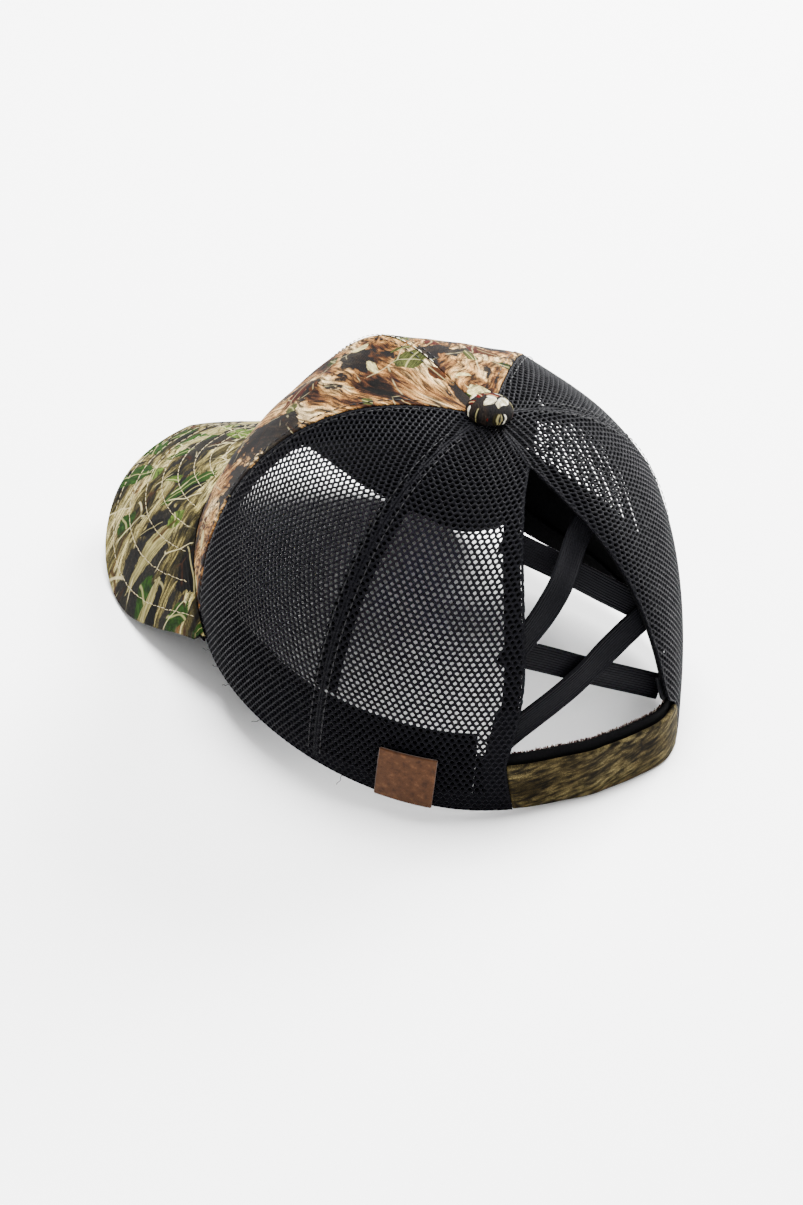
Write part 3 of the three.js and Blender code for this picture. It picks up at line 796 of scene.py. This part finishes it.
def brim_edge(sweep):
    """x = W |sin|^0.97 and y = tip - R cos^0.72 of the sweep angle, with the right wing curled in."""
    s, c = np.sin(np.radians(sweep)), np.cos(np.radians(sweep))
    angle = np.abs(sweep)
    curl = np.where(sweep < 0, BRIM_CURL * (smooth(angle, 25, 55) - smooth(angle, 78, 90)), 0)
    level = np.where(sweep > 0, along(BRIM_LEFT, angle), along(BRIM_RIGHT, angle))
    return np.stack([BRIM_HALF_WIDTH * (1 - curl) * np.sign(s) * np.abs(s) ** 0.97,
                     brim_tip[1] - BRIM_REACH * np.maximum(c, 0) ** 0.72, level], -1)


def brim_middle(sweep, v):
    sweep, v = np.broadcast_arrays(sweep, v)
    turn = np.degrees(np.arcsin(np.sin(np.radians(sweep)) * math.sin(math.radians(BRIM_TURN))))
    root = brim_seat(turn, np.full(turn.shape, 1.2))
    point = root + (brim_edge(sweep) - root) * v[..., None]
    point[..., 2] += BRIM_DOME * 4 * v * (1 - v)
    return point


def brim_normal(sweep, v):
    a, b = np.clip(sweep, -88, 88), np.clip(v, 0.02, 0.98)
    side = brim_middle(a + 0.5, b) - brim_middle(a - 0.5, b)
    out = brim_middle(a, b - 0.02) - brim_middle(a, b + 0.02)
    return unit(np.cross(side, out))


def to_edge(points):
    """Distance of each point from the brim's outer edge, seen from above."""
    line = brim_edge(np.linspace(-89.9, 89.9, 500))[:, :2]
    flat = points.reshape(-1, points.shape[-1])[:, :2]
    parts = [np.linalg.norm(block[:, None] - line[None], axis=2).min(1)
             for block in np.array_split(flat, max(len(flat) // 4000, 1))]
    return np.concatenate(parts).reshape(points.shape[:-1])


k = np.linspace(-1, 1, 181)
brim_turns = 0.9998 * BRIM_TURN * k * (1.35 - 0.35 * k * k)
sweeps = np.degrees(np.arcsin(np.sin(np.radians(brim_turns)) / math.sin(math.radians(BRIM_TURN))))
half = (BRIM_THICK + (BRIM_TIP_THICK - BRIM_THICK) * smooth(np.abs(sweeps), 72, 89)) / 2
across, depth = section(130, -1.0, 1.0, 0.012)
V = np.broadcast_to(across[None], (len(sweeps), len(across)))
S = np.broadcast_to(sweeps[:, None], V.shape)
D = depth[None] * half[:, None]
from_edge = to_edge(brim_middle(S, V))
grooves = sum(np.exp(-((from_edge - row) / 0.8) ** 2) for row in BRIM_ROWS) * 0.3
grooves = grooves * np.clip((1 - V) * 12, 0, 1) * np.clip(V * 12, 0, 1)
brim_points = brim_middle(S, V) - brim_normal(S, V) * (D - grooves * np.sign(D))[..., None]
at_root = V <= 0.0121
seat_turn = np.broadcast_to(brim_turns[:, None], V.shape)
brim_points = np.where(at_root[..., None], brim_seat(seat_turn, 1.2 - D), brim_points)
flat = brim_points[..., :2]
brim = (brim_points, loft(brim_points), flat)
# painted shade: the brim's underside takes the black sweatband cloth, standing for the shadow under the
# brim
make("brim", brim, brim_print, "brim", sweatband_and_shade_cloth, len(across))

# %% Brim threads
fine_v = np.linspace(0.03, 0.995, 110)[None]
fine_sweep = np.linspace(-89, 89, 420)[:, None]
surface = brim_middle(*np.broadcast_arrays(fine_sweep, fine_v)).reshape(-1, 3)
normals = brim_normal(*np.broadcast_arrays(fine_sweep, fine_v)).reshape(-1, 3)
outline = brim_edge(np.linspace(-89.5, 89.5, 400))
run = unit(np.gradient(outline[:, :2], axis=0))
inward = np.stack([-run[:, 1], run[:, 0]], -1)
rows = []
for row in BRIM_ROWS:
    spots = outline[:, :2] + inward * row
    gaps = np.linalg.norm(spots[:, None] - surface[None, :, :2], axis=2)
    nearest = gaps.argmin(1)
    good = (gaps.min(1) < 0.8) & (to_edge(spots) > row - 0.25)
    line = surface[nearest[good]] * [0, 0, 1] + np.pad(spots[good], ((0, 0), (0, 1)))
    up = normals[nearest[good]]
    if len(line) > 20:
        rows.append(stitches(line + up * (BRIM_THICK / 2 - 0.18), up, 3.0, 0.55, 0.15, 0.05))
make("brim threads", joined(rows), pale_thread)
print("brim rows:", len(rows))

# %% [markdown]
# ## Bands, tapes and hems
#
# A dense black sweatband lines the hem and shows through the mesh as a dark belt. The back band is
# a folded strip of the print over a taller black lining, whose raw cloth edge stands up behind it.
# A black strip hangs a little under the hem on the right, a painted shade below the brim's wing.

# %% Bands inside and behind the hem
left_edge = lambda climb: opening_edge(climb, 1)
right_edge = lambda climb: -opening_edge(climb, -1)
lap_start = around(left_edge(0.1), 0.0, -LINING_LAP)
lap_end = around(right_edge(0.1), 0.0, LINING_LAP)
always = lambda value: (lambda climb: np.full(np.shape(climb), float(value)))
sweatband = band(always(around(lap_end, 0.0, GAP)), always(around(lap_start, 0.0, -GAP)),
                 1, SWEATBAND_TALL, 260, UNDER, CLOTH)
make("sweatband", sweatband, sweatband_and_shade_cloth, "sweatband")
back_band = band(lambda c: around(left_edge(c), c, GAP / 2),
                 lambda c: 360 + around(right_edge(c), c, -GAP / 2),
                 0, BAND_TALL, 90, 0, BAND_THICK, 16)
make("back band", back_band, band_print, "back_band")
lining = band(always(lap_start), always(360 + lap_end), 1, LINING_TALL, 110,
              BAND_THICK + SEAT, LINING_THICK)
make("back band lining", lining, tape_cloth, "back_band_lining")
raw = band(always(lap_start + 9), always(360 + lap_end - 9), 14, LINING_TALL + 0.1, 260,
           BAND_THICK + SEAT + LINING_THICK + 0.12, 0.25, 6, 0.32)
make("raw cloth edge", raw, cut_edge)

# %% A black strip under the hem on the right, as painted shade below the brim's wing
# turn, then how far the painted shade strip hangs below the hem
SHADE_STRIP_DROP = [(-104, 0), (-92, 2.2), (-78, 5.4), (-66, 8.2), (-56, 8), (-44, 0)]


def shade_strip_point(turn, across, depth):
    height = 3 - (3 + along(SHADE_STRIP_DROP, turn)) * (1 - across)
    point = skin(turn, climb_at(turn, hem(turn)[..., 2] + np.maximum(height, 0)), depth)
    point[..., 2] += np.minimum(height, 0)
    return point


inner_face = UNDER + CLOTH
# painted shade: a black strip below the right hem, under the brim's wing
shade_strip_piece = wall(shade_strip_point, np.linspace(-104, -44, 60), 10, inner_face + 0.1, inner_face + 1, 0.04)
make("painted shade strip", shade_strip_piece, sweatband_and_shade_cloth)

# %% Tapes under the seams and around the opening
over_band = SWEATBAND_TALL + 2
foot = {t: float(climb_at(t, hem(float(t))[2] + over_band)) for t in (FRONT_SEAM, REAR_SEAM, 180)}
for word, side in (("left", 1), ("right", -1)):
    for place, seam, top in (("front", FRONT_SEAM, 0.975), ("rear", REAR_SEAM, 0.93)):
        part = strip(always(side * seam), -TAPE_WIDE / 2, TAPE_WIDE / 2, foot[seam], top, 80,
                     UNDER, TAPE_THICK)
        make(f"seam tape {place} {word}", part, tape_cloth, f"seam_tape_{place}_{word}")
    part = strip(lambda c, s=side: s * opening_edge(c, s), side * -HEM_WIDE, side * -0.3,
                 foot[180], OPENING_TOP - 0.015, 90, UNDER, HEM_THICK)
    make(f"opening hem {word}", part, tape_cloth, f"opening_hem_{word}")

# %% Sewn tail under the right edge
tail_low, tail_high = (float(climb_at(180.0, height)) for height in (19.0, 33.0))
tail = strip(right_edge, -0.5, 5.5, tail_low, tail_high, 24, UNDER + 1.2, 1.0)
make("strap tail right", tail, elastic)

# %% [markdown]
# ## Elastic straps
#
# Four elastics cross the opening in two pairs. Each is a flat ribbon between two sewn ends that
# bows out a little where it passes its partner. Its section has fine ribs along the strap.

# %% Straps
STRAP_WIDE, STRAP_THICK, STRAP_LAP, STRAP_SEAT, STRAP_STEP = 9.5, 1, 5.5, 0.9, 1.7
# heights of the left and right ends, sewn layer, bow, the strap it crosses, the strap it meets, side
STRAPS = {
    "strap_upper_left": (89.5, 58, 2, 1.6, "strap_upper_right", "strap_lower_right", 1),
    "strap_upper_right": (51.5, 90, 1, 6.5, "strap_upper_left", "strap_lower_left", -1),
    "strap_lower_left": (57.5, 24, 2, 1.5, "strap_lower_right", "strap_upper_right", -1),
    "strap_lower_right": (22, 55, 1, 2.5, "strap_lower_left", "strap_upper_left", 1),
}


def strap_ends(name):
    left, right, layer = STRAPS[name][:3]
    depth = CLOTH + SEAT + HEM_THICK + STRAP_SEAT + (layer - 1) * STRAP_STEP
    ends = []
    for side, height in ((1, left), (-1, right)):
        climb = climb_at(180.0, float(height))
        turn = side * around(opening_edge(climb, side), climb, -STRAP_LAP)
        ends.append(skin(turn, climb, depth))
    return ends


def facing(a, b):
    """Outward direction square to two straps."""
    run = [np.subtract(*strap_ends(n)[::-1]) for n in (a, b)]
    face = unit(np.cross(*run))
    return face if face[1] > 0 else -face


def strap(name):
    left, right, layer, bow, crosses, meets, side = STRAPS[name]
    start, end = strap_ends(name)
    run = unit(end - start)
    u = np.linspace(0, 1, 90)
    turned = smooth(u if side > 0 else 1 - u, 0.55, 0.78)[:, None]
    face = unit(facing(name, crosses) * (1 - turned) + facing(name, meets) * turned)
    side_way = unit(np.cross(run, face))
    centre = start + (end - start) * u[:, None] + face * (bow * (4 * u * (1 - u)) ** 3)[:, None]
    across, depth = section(44, 0, STRAP_THICK, 0.03)
    rib = 0.07 * np.cos(2 * np.pi * across * STRAP_WIDE / 0.95) * np.sign(depth - STRAP_THICK / 2)
    from_side = np.minimum(across, 1 - across) * STRAP_WIDE
    edge = 0.12 * np.exp(-(from_side / 0.7) ** 2) * np.sign(depth - 0.5)
    offset = depth + rib + edge
    points = (centre[:, None] + side_way[:, None] * ((across - 0.5) * STRAP_WIDE)[None, :, None]
              - face[:, None] * offset[None, :, None])
    return points, loft(points), flat_sizes(points, across)


for name in STRAPS:
    make(name, strap(name), elastic, name)

# %% [markdown]
# ## Button, label and loose threads
#
# The button is a dome turned about its axis and covered in the print. The label is a small bare
# patch of suede. A few frayed ends of yarn stand out from the hem, as on any worn cut edge.

# %% Button
BUTTON_RADIUS, BUTTON_TALL, BUTTON_SEAT = 8.3, 5.6, 0.6
t = np.linspace(0, np.pi / 2, 22)
rim = 0.98 + 0.02 * np.sin(np.linspace(0, np.pi, 5))
radius = np.concatenate([[0.02, 0.9], rim, np.cos(t[1:]) ** 0.75])
level = np.concatenate([[0, 0], np.linspace(0.05, 0.3, 5), 0.3 + 0.7 * np.sin(t[1:]) ** 1.1])
radius[-1] = 0.01
angle = np.linspace(0, 2 * np.pi, 64, endpoint=False)
fold = 1 + 0.012 * np.sin(angle * 9 + 1)[None] * (1 - level)[:, None]
ring_radius = BUTTON_RADIUS * radius[:, None] * fold
dome = np.broadcast_to(CROWN_HEIGHT + BUTTON_SEAT + BUTTON_TALL * level[:, None], ring_radius.shape)
button = np.stack([ring_radius * np.cos(angle), ring_radius * np.sin(angle) + BUTTON_BACK, dome], -1)
cloth = button[..., :2] + level[:, None, None] * 2
make("button", (button, loft(button), cloth), button_print, "button")


# %% Label
LABEL_START, LABEL_SPAN = 125.5, 12.5  # degrees around the crown
LABEL_LOW, LABEL_HIGH, LABEL_THICK = 0.4, 20.2, 1.2


def label_point(height, across, depth):
    """A patch that stands on the hem and lies on the mesh."""
    turn = LABEL_START + LABEL_SPAN * across
    point = skin(turn, climb_at(turn, np.maximum(height, 0)), depth)
    point[..., 2] += np.minimum(height, 0)
    return point


heights = np.linspace(LABEL_LOW, LABEL_HIGH, 40)
label = wall(label_point, heights, 34, -SEAT - LABEL_THICK, -SEAT, 0.02)
make("label", label, suede, "label")


# %% Loose threads
def yarn(start, direction, length, curl, radius=0.11):
    """A thin tube along start + direction s with a sideways curl growing as s²."""
    s = np.linspace(0, 1, 14)[:, None]
    side = unit(np.cross(direction, (0.3, 0.2, 1.0)))
    path = start + direction * s * length + side * curl * s ** 2 + np.sin(s * 9) * 0.25 * side
    run = unit(np.gradient(path, axis=0))
    a = unit(np.cross(run, (0.1, 0.3, 1.0)))
    b = np.cross(run, a)
    turn = np.linspace(0, 2 * np.pi, 6, endpoint=False)
    ring = a[:, None] * np.cos(turn)[None, :, None] + b[:, None] * np.sin(turn)[None, :, None]
    points = path[:, None] + ring * radius
    return points, loft(points), np.zeros(points.shape[:2] + (2,))


ends = []
for turn in (73, 78, 84, 96, 118, 152):
    base = skin(float(turn), 0.004, -0.1)
    out = unit(outward(float(turn), 0.01) * 0.9 + rng.normal(0, 0.5, 3) + (0, 0, 0.15))
    ends.append(yarn(base, out, rng.uniform(2, 4.5), rng.uniform(-1.5, 1.5)))
make("loose yarns", joined(ends), dark_thread)

# %% [markdown]
# ## Floor, light and camera
#
# A pale floor and large soft lights stand for a bright product studio. The camera looks down from
# behind the wearer's left, with a long lens, so the cap keeps its proportions.

# %% Floor
bpy.ops.mesh.primitive_plane_add(size=8, location=(0, 0, 0))
floor = bpy.context.object
floor.name = "floor"
floor_paint = bpy.data.materials.new("painted studio floor, white")
floor_paint.use_nodes = True
floor_paint.node_tree.nodes["Principled BSDF"].inputs["Base Color"].default_value = linear("#fbfbfb")
floor_paint.node_tree.nodes["Principled BSDF"].inputs["Roughness"].default_value = 0.9
floor.data.materials.append(floor_paint)


# %% Light
def area(name, place, aim, size, power):
    light = bpy.data.lights.new(name, "AREA")
    light.shape, light.size, light.energy = "SQUARE", size, power
    lamp = bpy.data.objects.new(name, light)
    lamp.location = place
    lamp.rotation_euler = (Vector(aim) - Vector(place)).to_track_quat("-Z", "Y").to_euler()
    bpy.context.scene.collection.objects.link(lamp)
    return lamp


area("soft top light", (-0.3, -0.5, 2.2), (0, 0, 0.05), 1.2, 230)
area("soft rear light", (0.5, 2.2, 1.4), (0, 0, 0.05), 1.0, 12)
area("key softbox", (-2.1, -0.6, 1.4), (0, 0, 0.05), 1.2, 300)
world = bpy.data.worlds.new("studio air")
world.use_nodes = True
world.node_tree.nodes["Background"].inputs["Color"].default_value = (1, 1, 1, 1)
world.node_tree.nodes["Background"].inputs["Strength"].default_value = 0.95
bpy.context.scene.world = world

# %% Camera
AZIMUTH, ELEVATION, DISTANCE = math.radians(144.7), math.radians(31.2), 1.0
target = Vector((0.03035, 0.05868, 0.05051))
level_back = Vector((math.sin(AZIMUTH), -math.cos(AZIMUTH), 0)) * math.cos(ELEVATION)
back = level_back + Vector((0, 0, math.sin(ELEVATION)))
lens = bpy.data.cameras.new("camera")
lens.sensor_fit, lens.sensor_width, lens.sensor_height, lens.lens = "VERTICAL", 36, 36, 84.19
camera = bpy.data.objects.new("camera", lens)
camera.location = target + back * DISTANCE
camera.rotation_euler = back.to_track_quat("Z", "Y").to_euler()
bpy.context.scene.collection.objects.link(camera)
bpy.context.scene.camera = camera
